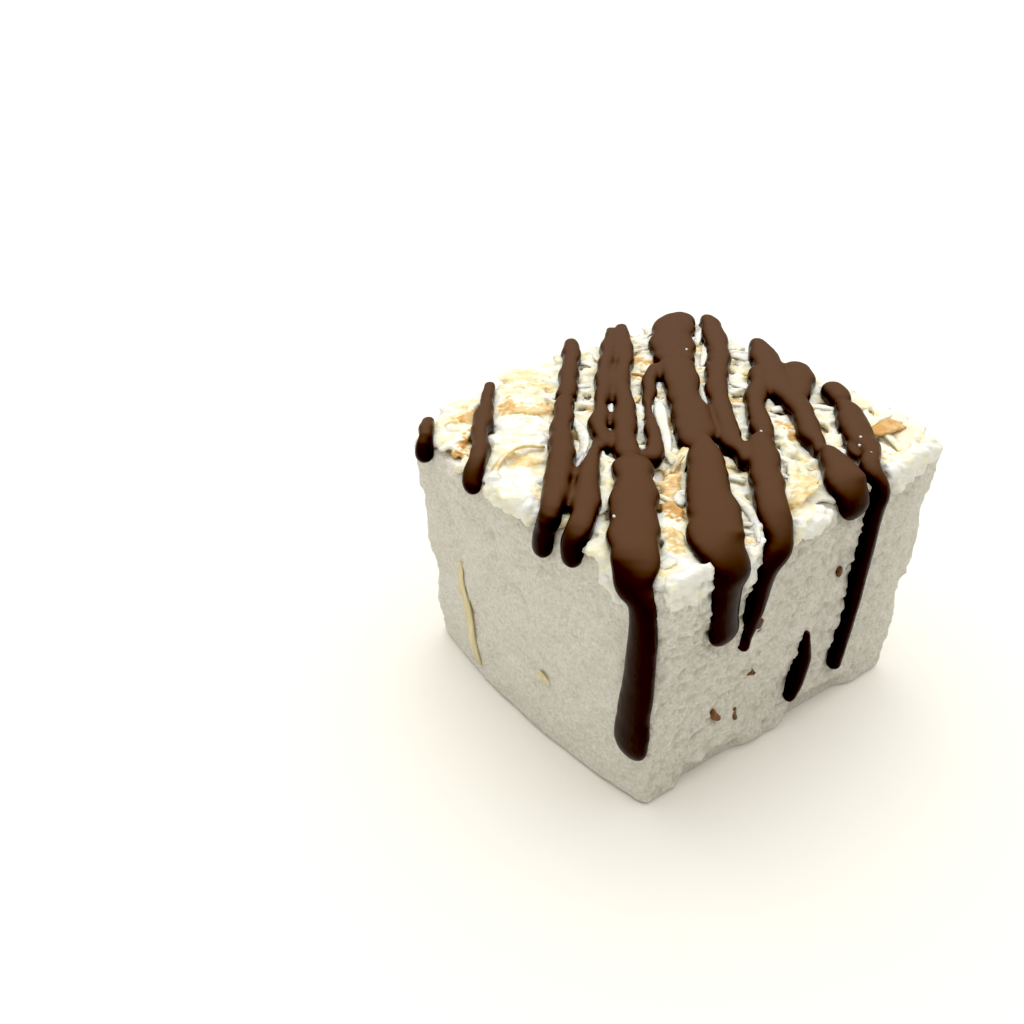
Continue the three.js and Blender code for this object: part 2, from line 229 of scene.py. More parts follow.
# [x, height, radius, depth] of the pits in the front side, and the swirl where foam was folded over there
PITS = [[-5.3, 27.5, 0.8, 0.5], [4.4, 10.5, 1.0, 0.25], [3.7, 27.5, 0.5, 0.3], [-14.6, 21.0, 0.6, 0.3]]
SWIRL = {"x": -0.9, "height": 19.4, "radius": 2.5, "depth": 0.35, "width": 0.4, "fade": 1.0}

relief = raised(foam_points, CRUMB)
relief += raised(foam_points, FINE_CRUMB)
relief += facing_front * raised(foam_points, GRAIN)
slanted = foam_points.copy()
slanted[:, 2] -= STRETCH_MARKS["climb"] * foam_y
marks = np.abs(lumps(slanted, STRETCH_MARKS["size"], STRETCH_MARKS["stretch"])) - STRETCH_MARKS["groove"]
on_right = facing_right * between(ROUGH["least"], 1, smooth_step(*ROUGH["y"], foam_y))
relief += STRETCH_MARKS["height"] * on_right * marks
relief += on_right * raised(foam_points, WOOL)
near_rim = smooth_step(*FLUFF["heights"], foam_z) * sideways
relief += near_rim * raised(foam_points, FLUFF)
from_corner = np.linalg.norm(foam_points[:, :2] - CORNER_FLUFF["at"], axis=1) / CORNER_FLUFF["reach"]
at_corner = np.exp(-from_corner ** 2) * smooth_step(*CORNER_FLUFF["heights"], foam_z)
puffs = np.abs(lumps(foam_points, CORNER_FLUFF["size"], shift=CORNER_FLUFF["shift"]))
relief += CORNER_FLUFF["height"] * at_corner * sideways * (CORNER_FLUFF["least"] + puffs)
for x, height, radius, depth in PITS:
    apart = np.hypot(foam_x - x, foam_z - height) / radius
    relief -= depth * facing_front * np.exp(-apart ** 2)
from_middle = np.hypot(foam_x - SWIRL["x"], foam_z - SWIRL["height"])
groove = np.exp(-((from_middle - SWIRL["radius"]) / SWIRL["width"]) ** 2)
above_middle = smooth_step(-SWIRL["fade"], SWIRL["fade"], foam_z - SWIRL["height"])
relief -= SWIRL["depth"] * facing_front * groove * above_middle
relief *= off_floor
# painted shade: the relief between which a hollow is painted darker, and how much of that painted shade
# it keeps away from the right side
PAINTED_SHADE_RANGE = {"relief": (-0.02, -0.3), "off right": 0.35}
painted_hollow_shade = smooth_step(*PAINTED_SHADE_RANGE["relief"], relief) * between(PAINTED_SHADE_RANGE["off right"], 1, facing_right)
foam_points += way_out * relief[:, None]
foam_z[:] = np.maximum(foam_z, 0)


def linear(colour):
    """An sRGB hex colour as the linear values that a shader takes."""
    parts = [int(colour[i:i + 2], 16) / 255 for i in (1, 3, 5)]
    return [p / 12.92 if p <= 0.04045 else ((p + 0.055) / 1.055) ** 2.4 for p in parts] + [1.0]


def add_node(tree, kind, inputs=(), **settings):
    """Adds a node with its settings. A socket takes a value, an output, or a node by its first output."""
    made = tree.nodes.new("ShaderNode" + kind)
    for name, value in settings.items():
        setattr(made, name, value)
    for socket, value in dict(inputs).items():
        if isinstance(value, bpy.types.Node):
            value = value.outputs[0]
        if isinstance(value, bpy.types.NodeSocket):
            tree.links.new(value, made.inputs[socket])
        else:
            made.inputs[socket].default_value = value
    return made


def empty_material(name):
    material = bpy.data.materials.new(name)
    material.use_nodes = True
    material.node_tree.nodes.clear()
    return material, material.node_tree


def per_metre(millimetres):
    """The texture scale that makes lumps of that size."""
    return 1 / (millimetres * MM)


def add_piece(name, points, faces, material):
    """A smooth-shaded piece from points in millimetres."""
    mesh = bpy.data.meshes.new(name)
    mesh.from_pydata(((np.asarray(points) - BOX_CENTRE) * MM).tolist(), [], faces)
    mesh.shade_smooth()
    mesh.materials.append(material)
    piece = bpy.data.objects.new(name, mesh)
    bpy.context.scene.collection.objects.link(piece)
    return piece


# Set marshmallow foam: millions of tiny bubbles, so it is matt and white, and light that enters it spreads
# a little, which softens every crease. Open bubbles and thin sugary streaks make the cut finely mottled. Its
# hollows are painted darker, as painted shade.
FOAM_WHITE = "#FFFBEF"
FOAM_SHADE = "#E7DFCF"
# painted shade in the hollows of the cut
FOAM_PAINTED_SHADE = "#E4DED0"
MOTTLE_SIZE = 0.4  # mm, of the streaks and clusters of bubbles
BUBBLE_SIZE = 0.7  # mm, as coarse as they need to show: real ones are a tenth of this
foam, tree = empty_material("set_marshmallow_foam")
place = add_node(tree, "TexCoord").outputs["Object"]
mottle = add_node(tree, "TexNoise", {
    "Vector": place, "Scale": per_metre(MOTTLE_SIZE), "Detail": 3.0, "Roughness": 0.6,
})
mottle_share = add_node(tree, "MapRange", {"Value": mottle, "From Min": 0.3, "From Max": 0.62})
mottled = add_node(tree, "MixRGB", {
    "Fac": mottle_share, "Color1": linear(FOAM_SHADE), "Color2": linear(FOAM_WHITE),
})
# painted shade: the hollows of the cut are coloured darker, fully on the right side
hollow_shade_share = add_node(tree, "Attribute", attribute_name="hollow_shade_share").outputs["Fac"]
foam_colour = add_node(tree, "MixRGB", {"Fac": hollow_shade_share, "Color1": mottled, "Color2": linear(FOAM_PAINTED_SHADE)})
bubbles = add_node(tree, "TexNoise", {
    "Vector": place, "Scale": per_metre(BUBBLE_SIZE), "Detail": 4.0, "Roughness": 0.7,
})
off_middle = add_node(tree, "Math", {0: bubbles, 1: 0.5}, operation="SUBTRACT")
creases = add_node(tree, "Math", {0: off_middle}, operation="ABSOLUTE")
bubble_bump = add_node(tree, "Bump", {"Height": creases, "Strength": 1.0, "Distance": 0.8 * MM})
shader = add_node(tree, "BsdfPrincipled", {
    "Base Color": foam_colour, "Roughness": 0.9, "IOR": 1.35, "Specular IOR Level": 0.2,
    "Subsurface Weight": 0.5, "Subsurface Radius": (1.0, 0.94, 0.86), "Subsurface Scale": 0.4 * MM,
    "Normal": bubble_bump,
})
add_node(tree, "OutputMaterial", {"Surface": shader})


def mark_points(mesh, name, values):
    """Keeps a value at each point of a mesh, for its material."""
    mesh.attributes.new(name, "FLOAT", "POINT").data.foreach_set("value", values)


FACING = 0.5  # the least share of its way out that puts a point on a side


def foam_at(side, along, height):
    """The point of the foam's surface nearest to a place on a side."""
    runs, facing = (1, facing_right) if side == "right" else (0, facing_front)
    apart = np.hypot(foam_points[:, runs] - along, foam_z - height)
    return foam_points[np.where(facing > FACING, apart, np.inf).argmin()]


body = add_piece("marshmallow_body", foam_points, foam_faces, foam)
# painted shade: how much each point's hollow is painted darker
mark_points(body.data, "hollow_shade_share", painted_hollow_shade)
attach(body, "root")
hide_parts("marshmallow")

# ---- The coconut ----
# Dried coconut shaved into thin curling flakes and pressed into the top while the foam was sticky. Small
# chips fill the bed, longer shreds lie over them, and a few are toasted golden in patches.

SHAVING_ROWS = 9  # rows of points along a shaving
# one row, as [share of half the width, side of the flake]: a thin lens
LENS = [[-1, 0], [-0.6, 1], [0, 1], [0.6, 1], [1, 0], [0.6, -1], [0, -1], [-0.6, -1]]
CUP = 0.12  # how much a flake's edges turn up, as a share of its half width
RAGGED = 0.14  # how much a flake's width changes along it
TIP = {"width": 0.3, "bluntness": 0.45}  # width as a share of the middle's
PATCHY = (0.7, 1.0)  # a flake's toasting changes along it between these shares


def tube_faces(first, rings, corners):
    """Quads between rings of points, each ring with that many corners."""
    quads = []
    for start in range(first, first + (rings - 1) * corners, corners):
        for i in range(corners):
            after = (i + 1) % corners
            quads.append([start + i, start + after, start + corners + after, start + corners + i])
    return quads


class Shavings:
    """The points, faces and toasting of many shavings, gathered into one mesh."""

    def __init__(self):
        self.points, self.faces, self.toasted = [], [], []

    def add(self, middles, width, thickness, lean, toasted, facing=(0, 0, 1), ragged=RAGGED):
        """One shaving along the given middles, rolled about its length by lean from facing that way."""
        forward = np.gradient(middles, axis=0)
        forward /= np.linalg.norm(forward, axis=1)[:, None]
        aside = np.cross(facing, forward)
        aside /= np.linalg.norm(aside, axis=1)[:, None]
        up = np.cross(forward, aside)
        across = aside * math.cos(lean) + up * math.sin(lean)
        normal = np.cross(forward, across)
        first = len(self.points)
        for row, middle in enumerate(middles):
            share = row / (len(middles) - 1)
            taper = between(TIP["width"], 1, math.sin(math.pi * share) ** TIP["bluntness"])
            half = width / 2 * taper * random.uniform(1 - ragged, 1 + ragged)
            for place_across, face in LENS:
                over = face * thickness / 2 + CUP * half * place_across ** 2
                self.points.append(middle + across[row] * half * place_across + normal[row] * over)
                self.toasted.append(toasted * random.uniform(*PATCHY))
        self.faces += tube_faces(first, len(middles), len(LENS))
        end = len(self.points)
        self.faces.append(list(range(first, first + len(LENS)))[::-1])
        self.faces.append(list(range(end - len(LENS), end)))

    def piece(self, name, material):
        """The finished piece, with how far it is toasted at each point."""
        made = add_piece(name, self.points, self.faces, material)
        mark_points(made.data, "toasted", self.toasted)
        return made


def skin_of(mesh):
    """A mesh's points, in millimetres, and the way out at each."""
    found = []
    for kind, unit in (("co", MM), ("normal", 1)):
        values = np.empty(len(mesh.vertices) * 3)
        mesh.vertices.foreach_get(kind, values)
        found.append(values.reshape(-1, 3) / unit)
    return found


def join_skin(piece, voxel, passes, relief):
    """Draws one skin round a piece's overlapping shapes, smooths it and moves each point out by relief."""
    around = piece.modifiers.new("around", "REMESH")
    around.mode = "VOXEL"
    around.voxel_size = voxel * MM
    soften = piece.modifiers.new("soften", "SMOOTH")
    soften.iterations = passes
    joined = bpy.data.meshes.new_from_object(piece.evaluated_get(bpy.context.evaluated_depsgraph_get()))
    piece.modifiers.clear()
    joined.name = piece.data.name
    joined.materials.clear()
    joined.materials.append(piece.data.materials[0])
    points, normals = skin_of(joined)
    joined.vertices.foreach_set("co", ((points + normals * relief(points)[:, None]) * MM).ravel())
    joined.shade_smooth()
    piece.data = joined
    return joined


def curled_middles(spot, heading, climb, length, sweep, lift):
    """Middles of a shaving that turns aside by sweep and over by lift (radians) along its length."""
    share = np.linspace(-0.5, 0.5, SHAVING_ROWS)
    yaw = heading + sweep * share
    pitch = climb - lift * share
    steps = np.column_stack([np.cos(yaw) * np.cos(pitch), np.sin(yaw) * np.cos(pitch), np.sin(pitch)])
    middles = np.cumsum(steps * length / (SHAVING_ROWS - 1), axis=0)
    return middles - middles.mean(axis=0) + spot


SIDES = {  # first corner, last corner, axis it runs along, way out on the other axis
    "front": ("left", "front", 0, -1),
    "right": ("front", "right", 1, 1),
    "back": ("back", "right", 0, 1),
    "left": ("left", "back", 1, -1),
}


def side_at(side, along, height):
    """The x or y at which a side stands, at a place along it and a height."""
    start, end, runs, outward = SIDES[side]
    first, last = corner_at(start, height), corner_at(end, height)
    share = (along - first[runs]) / (last[runs] - first[runs])
    bow = swell_at(side, height) * 4 * share * (1 - share)
    return between(first[1 - runs], last[1 - runs], share) + outward * bow


def side_place(side, along, height, rise=0):
    """The point at a place along a side and a height that stands out from it by rise."""
    runs, outward = SIDES[side][2:]
    spot = np.array([along, along, height], float)
    spot[1 - runs] = side_at(side, along, height) + outward * rise
    return spot


CORNER_CUT = 44.5  # x + y at which the bed stops, short of the right corner


def inside_rim(x, y):
    """How far a place on the bed is from the nearest rim."""
    return min(
        y - side_at("front", x, CUT_HEIGHT), side_at("right", y, CUT_HEIGHT) - x,
        side_at("back", x, CUT_HEIGHT) - y, x - side_at("left", y, CUT_HEIGHT),
        (CORNER_CUT - x - y) / math.sqrt(2),
    )


# Kinds of flake, lowest first: how many cells the bed is split into each way with one flake to a cell, the
# length, width and thickness, how high its middle lies over the bed, and how steeply it may climb, lean and
# curl. Most lie across the drizzle, give or take `stray`, and none has its middle within `margin` of a rim.
LAYERS = [
    {
        "cells": (21, 23), "length": (2.6, 4.4), "width": (1.8, 3.0), "thickness": 1.0, "stray": 1.6,
        "height": (-0.3, 0.2), "climb": 0.16, "lean": 0.25, "sweep": 0.9, "lift": 0.5, "margin": 0.6,
    },
    {
        "cells": (14, 15), "length": (3.2, 5.6), "width": (1.6, 2.8), "thickness": 0.8, "stray": 1.0,
        "height": (0.0, 0.55), "climb": 0.12, "lean": 0.35, "sweep": 1.2, "lift": 0.7, "margin": 1.2,
    },
    {
        "cells": (8, 9), "length": (4.0, 7.0), "width": (1.0, 1.8), "thickness": 0.5, "stray": 0.9,
        "height": (0.4, 0.9), "climb": 0.16, "lean": 0.7, "sweep": 1.5, "lift": 0.8, "margin": 2.0,
    },
]
BED_AREA = {"x": (-26.5, 23.0), "y": (-27.0, 28.5)}
TOASTED_SHARE = 0.08  # of the flakes
TOASTING = {"pale": (0, 0.25), "toasted": (0.5, 0.9)}
LEAST_LIFT = -0.3  # a few flakes curl the other way, by this share of `lift` at most
OVERHANG = 0.8  # mm by which a flake's ends may pass a rim


def scatter(layer, shavings):
    """One flake to a cell of the bed, but none far over a rim or, across the drizzle, short of `beyond`."""
    columns, rows = layer["cells"]
    low_x, high_x = BED_AREA["x"]
    low_y, high_y = BED_AREA["y"]
    for row in range(rows):
        for column in range(columns):
            x = low_x + (high_x - low_x) * (column + random.random()) / columns
            y = low_y + (high_y - low_y) * (row + random.random()) / rows
            height = BED_HEIGHT + climb_at([x, y]) + random.uniform(*layer["height"])
            heading = DRIZZLE_TURN + math.pi / 2 + random.uniform(-1, 1) * layer["stray"]
            middles = curled_middles(
                np.array([x, y, height]), heading, random.uniform(-1, 1) * layer["climb"],
                random.uniform(*layer["length"]), random.uniform(-1, 1) * layer["sweep"],
                random.uniform(LEAST_LIFT, 1) * layer["lift"],
            )
            width = random.uniform(*layer["width"])
            lean = random.uniform(-1, 1) * layer["lean"]
            toasted = random.uniform(*TOASTING["pale"])
            if random.random() < TOASTED_SHARE:
                toasted = random.uniform(*TOASTING["toasted"])
            ends_inside = min(inside_rim(*end[:2]) for end in (middles[0], middles[-1]))
            on_bed = inside_rim(x, y) > layer["margin"] and ends_inside > -OVERHANG
            if on_bed and np.dot(ACROSS, [x, y]) > layer.get("beyond", -math.inf):
                shavings.add(middles, width, layer["thickness"], lean, toasted)


random.seed(11)
bed_flakes = Shavings()
for layer in LAYERS:
    scatter(layer, bed_flakes)

# The flakes that lie widest and clearest in the bed: [along the drizzle, across it, height over the bed] of
# points along the middle, then the width, lean and toasting.
BROAD_SHAVINGS = [
    # across the gap beside the long thin run, from the back to the front rim
    ([[-16, -23, 0.2], [-15.5, -19.5, 0.8], [-15, -15.5, 0.5]], 3, 0.2, 0.3),
    ([[-13, -22.8, 0.3], [-12.3, -19, 0.8], [-12, -15, 0.5]], 3, -0.2, 0.5),
    ([[-9.8, -23, 0.4], [-9.3, -19.5, 0.9], [-9.4, -15.2, 0.6]], 3, 0.25, 0.15),
    ([[-6.8, -22.6, 0.3], [-6, -19.4, 0.8], [-5.8, -15.4, 0.6]], 3.4, -0.1, 0.6),
    ([[-2.8, -23.6, 0.5], [-1.7, -20, 1.2], [-2, -16, 0.8]], 3.8, 0.2, 0),
    ([[1.4, -23.8, 0.5], [2.2, -20.2, 1.1], [1.4, -16.4, 0.7]], 3.8, 0.2, 0),
    ([[6.6, -16.8, 0.5], [7.2, -18.6, 0.9], [7.8, -20.6, 0.6]], 3, 0.2, 0.45),
    ([[4.2, -24.4, 0], [5.4, -22.4, 0.6], [6.4, -20.4, 0.5]], 2.6, 0.2, 0.25),
    ([[7.4, -25.2, -1], [9.2, -23.6, 0.2], [10.6, -21, 0.6]], 3.2, 0.2, 0),
    ([[10.8, -23.4, -0.8], [11.6, -20.8, 0.6], [10.8, -17.4, 0.7]], 3.6, 0.1, 0),
    ([[14.6, -21.6, -1.2], [14.6, -19.4, 0.3], [14, -17.6, 0.4]], 3.4, 0.2, 0.05),
    # round the ends of the short run by the left corner
    ([[-9.2, -21.8, 0.3], [-6, -21.6, 0.7], [-3.2, -22.2, 0.4]], 2.2, 0.5, 0.85),
    ([[-1.6, -26.2, 0.2], [2, -27.2, 0.5], [5, -27.9, 0]], 2, 0.5, 1),
    ([[-6, -25.8, 0.2], [-4.5, -27.5, 0.5], [-2.5, -29.4, 0.1]], 2.2, 0.3, 0.8),
    ([[-9, -26, 0.1], [-8, -28, 0.3], [-6, -29.8, -0.2]], 2.6, 0.1, 0.3),
    ([[3, -29.4, -0.5], [0.5, -29.2, 0.2], [-2, -28, 0.3]], 2.6, 0.2, 0.05),
    # between the other runs
    ([[4.4, -10, 0.7], [9, -9.8, 0.8], [13, -10.3, 0.7], [17, -11.1, 0.3]], 1.8, 0.5, 0.1),
    ([[-9, -3.6, 0.5], [-5.5, -3.9, 0.8], [-2, -4.4, 0.6]], 1.5, 0.3, 0),
    ([[13.6, 4.6, 0.5], [18.5, 5, 0.7], [22.5, 4.9, 0.3], [26, 3.4, -0.6]], 2.2, 0.5, 0.1),
    ([[7, 13.6, 0.4], [10, 12.8, 0.9], [13.2, 11.6, 0.5]], 3.2, -0.3, 0.25),
    ([[11, 13.6, 0.7], [14.6, 12, 1.3], [17, 10.2, 0.8]], 3.4, 0.5, 0.5),
    ([[15.8, 12.6, 0], [18, 11.2, 0.5], [19.8, 9.8, 0.1]], 2.6, 0.2, 0.35),
    ([[-2, 13.6, 0.5], [1.8, 13, 0.9], [5.6, 13.4, 0.6]], 2, 0.4, 0.15),
    ([[-3, 13.4, 0.3], [-0.6, 14.6, 0.8], [1.6, 14.4, 0.5]], 1.8, 0.5, 0.9),
    ([[15, -4.2, 0.4], [17.2, -3.2, 0.8], [19.4, -2.8, 0.4]], 1.8, 0.4, 1),
    ([[9.6, -1.6, 0.6], [12.2, -2.6, 1], [15, -2.8, 0.6]], 2.4, 0.4, 0.7),
    # at the right corner
    ([[-0.6, 31.6, -0.8], [1.2, 28.4, 0.3], [2.6, 25.4, 0.2]], 4.2, -0.3, 0.15),
    ([[4.6, 25.6, -0.5], [3.4, 28, 0], [1.6, 30.6, -1.1]], 3.4, -0.5, 0.3),
    ([[-5.6, 28.8, -0.4], [-4.2, 26.4, 0.4], [-3, 24.6, 0.4]], 3, 0.2, 0.2),
    ([[-3.4, 31, 0.3], [-0.6, 30, 1], [2, 27.6, 0.7]], 3.8, 0, 0.15),
    # a tuft that hangs over the front corner
    ([[21, -4.7, 0.3], [24, -4.3, 0.9], [27.2, -3.9, 0.3], [29, -3.6, -1.6]], 2.2, 0.2, 0.05),
    ([[22.6, -3, 0.3], [25.2, -2.6, 0.7], [27.2, -2.4, -0.4], [28, -2.3, -2.4]], 1.8, -0.3, 0.1),
    ([[21.6, -4.4, 0.6], [23.6, -3.8, 1.2], [25.6, -3.6, 0.8]], 2, 0.5, 0.6),
    ([[25.4, -1.9, 0.1], [27, -1.7, -0.4], [27.9, -1.7, -2.4]], 1.3, 0.2, 0),
    ([[24.4, -5.6, 0.1], [27.4, -5.2, 0.3], [29.8, -4.9, -0.6], [30.6, -4.8, -2.6]], 2, 0.3, 0),
]
BROAD_THICKNESS = 0.65
BROAD_ROWS = 14

# Crumbled flakes that cling together over a rim, most of them high up: the side, the places along it, the
# heights and sizes between which they lie, and how many.
CRUMBLES = [
    ("front", (-4.2, 2.8), (33.6, 35.4), (1.6, 3), 30),
    ("front", (13, 17.2), (30, 34.8), (0.7, 1.4), 44),
    ("right", (-23, -17.4), (31.2, 35.8), (0.7, 1.5), 120),
    ("right", (-12.2, -10.6), (29, 34.8), (0.7, 1.4), 26),
    ("right", (-5, 0.8), (32.4, 34.8), (1.2, 2.2), 20),
    ("right", (12.6, 23.6), (32.4, 35.6), (1.4, 2.4), 60),
    ("back", (-23, 15), (32.6, 34.8), (1, 2), 50),
    ("left", (-20, 24), (32.6, 34.8), (1, 2), 50),
]
CRUMBLE_THICKNESS = 0.8  # of its size
CRUMBLE_CURL = 0.6


SAME_PLACE = 1e-4  # mm, the least that two knots count as apart


def curve_point(knots, t):
    """The point a share t of the way along the knots, on a centripetal Catmull-Rom curve."""
    last = len(knots) - 1
    at = min(int(t * last), last - 1)
    share = t * last - at
    start, end = knots[at], knots[at + 1]
    before = knots[at - 1] if at > 0 else 2 * knots[0] - knots[1]
    after = knots[at + 2] if at + 2 <= last else 2 * knots[last] - knots[last - 1]
    gap_in, gap, gap_out = (
        max(np.linalg.norm(b - a), SAME_PLACE) ** 0.5
        for a, b in ((before, start), (start, end), (end, after))
    )
    leave = ((start - before) / gap_in - (end - before) / (gap_in + gap) + (end - start) / gap) * gap
    arrive = ((end - start) / gap - (after - start) / (gap + gap_out) + (after - end) / gap_out) * gap
    bend = -3 * start + 3 * end - 2 * leave - arrive
    twist = 2 * start - 2 * end + leave + arrive
    return start + leave * share + bend * share ** 2 + twist * share ** 3


def curved(knots):
    """Middles of a long flake along the knots."""
    return np.array([curve_point(np.array(knots), t) for t in np.linspace(0, 1, BROAD_ROWS)])


def over_bed(along, across, height):
    """A point at a place along and across the drizzle and a height over the middle of the bed."""
    ground = along * ALONG + across * ACROSS
    return np.array([*ground, BED_HEIGHT + climb_at(ground) + height])


def crumble(shavings, side, along, heights, sizes, count):
    """Small thick flakes that lie every way along part of a rim."""
    for _ in range(count):
        size = random.uniform(*sizes)
        height = random.triangular(*heights, heights[1])
        spot = side_place(side, random.uniform(*along), height)
        heading, climb = random.uniform(0, math.tau), random.uniform(-1, 1)
        middles = curled_middles(spot, heading, climb, size, CRUMBLE_CURL, CRUMBLE_CURL)
        shavings.add(middles, size, size * CRUMBLE_THICKNESS, random.uniform(-1, 1), 0.0)


for knots, width, lean, toasted in BROAD_SHAVINGS:
    bed_flakes.add(curved([over_bed(*knot) for knot in knots]), width, BROAD_THICKNESS, lean, toasted)
for patch in CRUMBLES:
    crumble(bed_flakes, *patch)

# Shaved coconut: oily, dense and translucent. Its flesh is white to cream with fine fibres along the flakes,
# the toasted parts are golden, and the smooth cut faces shine a little.
COCONUT_WHITE = "#FFFBEE"
COCONUT_CREAM = "#FBE6B0"
COCONUT_TOASTED = "#D4A05A"
FIBRE = {"length": 3.0, "width": 0.3}  # mm, wider than real ones so that they show
PATCH_SIZE = 2.4  # mm
FIBRE_SHOWS = 0.5  # how much the fibres add to the patches
TOASTING_CREAMS = 0.8  # how much toasting adds to the cream
flesh, tree = empty_material("shaved_coconut")
place = add_node(tree, "TexCoord").outputs["Object"]
across_runs = add_node(tree, "Mapping", {"Vector": place, "Rotation": (0, 0, -DRIZZLE_TURN)})
fibre_cells = add_node(tree, "VectorMath", {
    0: across_runs, 1: (1, FIBRE["width"] / FIBRE["length"], 1),
}, operation="MULTIPLY")
fibres = add_node(tree, "TexNoise", {
    "Vector": fibre_cells, "Scale": per_metre(FIBRE["width"] * 2), "Detail": 3.0,
})
patches = add_node(tree, "TexNoise", {
    "Vector": place, "Scale": per_metre(PATCH_SIZE), "Detail": 4.0, "Roughness": 0.6,
})
toasting = add_node(tree, "Attribute", attribute_name="toasted").outputs["Fac"]
fibre_and_patch = add_node(tree, "Math", {
    0: fibres, 1: FIBRE_SHOWS, 2: patches,
}, operation="MULTIPLY_ADD")
browned = add_node(tree, "Math", {0: fibre_and_patch, 1: toasting}, operation="MULTIPLY")
toast_share = add_node(tree, "MapRange", {"Value": browned, "From Min": 0.22, "From Max": 0.66})
creamed = add_node(tree, "Math", {
    0: toasting, 1: TOASTING_CREAMS, 2: fibre_and_patch,
}, operation="MULTIPLY_ADD")
cream_share = add_node(tree, "MapRange", {"Value": creamed, "From Min": 0.74, "From Max": 1.1})
white_to_cream = add_node(tree, "MixRGB", {
    "Fac": cream_share, "Color1": linear(COCONUT_WHITE), "Color2": linear(COCONUT_CREAM),
})
coconut_colour = add_node(tree, "MixRGB", {
    "Fac": toast_share, "Color1": white_to_cream, "Color2": linear(COCONUT_TOASTED),
})
fibre_bump = add_node(tree, "Bump", {"Height": fibres, "Strength": 1.0, "Distance": 0.35 * MM})
shader = add_node(tree, "BsdfPrincipled", {
    "Base Color": coconut_colour, "Roughness": 0.45, "IOR": 1.45, "Specular IOR Level": 0.4,
    "Subsurface Weight": 0.7, "Subsurface Radius": (1.0, 0.94, 0.86), "Subsurface Scale": 0.6 * MM,
    "Normal": fibre_bump,
})
add_node(tree, "OutputMaterial", {"Surface": shader})

BED_VOXEL = 0.3  # mm, so that neighbouring flakes grow together where they touch
BED_PASSES = 1
# the flakes are crumpled as well as curled, in large folds and small ones
FOLDS = {"height": 0.28, "size": 1.3}
WRINKLES = {"height": 0.28, "size": 0.65, "shift": 20}


def crumpled(points):
    return raised(points, FOLDS) + raised(points, WRINKLES)


bed = bed_flakes.piece("coconut_bed", flesh)
flake_points = skin_of(bed.data)[0].tolist()
nearest_flake = KDTree(len(flake_points))
for i, point in enumerate(flake_points):
    nearest_flake.insert(point, i)
nearest_flake.balance()
bed_skin = join_skin(bed, BED_VOXEL, BED_PASSES, crumpled)
mark_points(bed_skin, "toasted", [
    bed_flakes.toasted[nearest_flake.find(point)[1]] for point in skin_of(bed_skin)[0].tolist()
])
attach(bed, "root")
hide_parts("marshmallow")

# Thin shreds that lie loose on the bed, given as the broad flakes are.
LOOSE_SHREDS = [
    ([
        [4.3, -16.9, 1.1], [5, -19.4, 1.6], [6.6, -21.3, 1.6], [8.6, -22.7, 1.1], [11, -23.2, 0.4],
    ], 1.4, 0.7, 0.5),
    ([[-2, -13.4, 1.9], [0.6, -12.3, 1.7], [3.6, -11.9, 1.3], [9, -13.3, 0.9]], 1.3, 0.5, 0.05),
    ([[-8.4, -1.3, 1], [-5, -1.4, 1.3], [-1, -1.6, 1.3], [3, -1.8, 1.2], [7, -2.1, 1]], 1.7, 0.3, 0),
    ([[5, 1, 2], [7.4, -0.5, 1.5], [11, -1.6, 0.9]], 2, 0.3, 0.35),
    ([[15, 3.8, 1.3], [19.5, 5.2, 1.3], [23.5, 5, 0.7]], 1, 0.5, 0.05),
    ([[-31, 8.5, 0.9], [-28.6, 7.8, 1.2], [-24.8, 7, 0.9]], 1.2, 0.3, 0),
    ([[-25.4, 8.2, 0.9], [-20.4, 7.2, 1.2], [-17.8, 6.4, 0.9]], 1.1, 0.3, 0.1),
    ([[-18.6, -5.9, 1], [-17, -6.3, 1.3], [-15.2, -6.8, 1]], 0.8, 0.3, 0.2),
    ([[-8, -7.6, 0.9], [-4.5, -8, 1.3], [-0.6, -8.7, 1.1]], 0.9, 0.3, 0),
    ([[-1.4, 29.6, 1.1], [0, 27.2, 1.8], [1.8, 24.2, 1.6]], 2.4, -0.2, 1),
    ([[5.4, -2.6, 1.5], [8.2, -1.4, 1.2], [10.4, -1.8, 0.9]], 1.4, 0.5, 0.3),
    ([[8.8, -0.7, 2.6], [9.4, -1.4, 1.9], [10.2, -2.2, 1]], 1.5, 0.8, 0.45),
    ([[-15, 4.8, 0.8], [-11, 5, 1.1], [-7, 5.2, 0.9]], 0.9, 0.4, 0),
]
SHRED_THICKNESS = 0.36
LOOSE_LAYER = {
    "cells": (11, 12), "length": (2.2, 4.6), "width": (0.9, 1.9), "thickness": 0.4, "stray": 1.2,
    "height": (0.55, 1.05), "climb": 0.2, "lean": 0.5, "sweep": 1.4, "lift": 0.9, "margin": 2.8,
    "beyond": -16.0,
}
# tiny crumbs of coconut laid on top of the runs: [along the drizzle, across it]
CRUMBS = [
    [19.9, -8.3], [19.6, -6.1], [21.6, -8], [21.4, -10.1], [12.6, 1.6], [-6, 3.4], [3, 9.8], [-20, 4.4],
    [6.4, 20.8], [4.4, 21.6], [8.2, 21.6],
]
CRUMB_SIZE = 0.32
CRUMB_HEIGHT = 2.55  # over the bed, on top of the runs
loose = Shavings()
scatter(LOOSE_LAYER, loose)
for along, across in CRUMBS:
    middles = curled_middles(over_bed(along, across, CRUMB_HEIGHT), 0.0, 0.0, CRUMB_SIZE, 0.0, 0.0)
    loose.add(middles, CRUMB_SIZE, CRUMB_SIZE, 0.0, 0.0)
for knots, width, lean, toasted in LOOSE_SHREDS:
    loose.add(curved([over_bed(*knot) for knot in knots]), width, SHRED_THICKNESS, lean, toasted)
shreds = loose.piece("coconut_shreds", flesh)
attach(shreds, "root")
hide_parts("marshmallow")

# ---- The chocolate ----
# Melted dark chocolate, swung from a spoon back and forth over the cube along one line, so that it fell in
# thick runs. It sank a little between the flakes, ran over the front and right rims, and set.

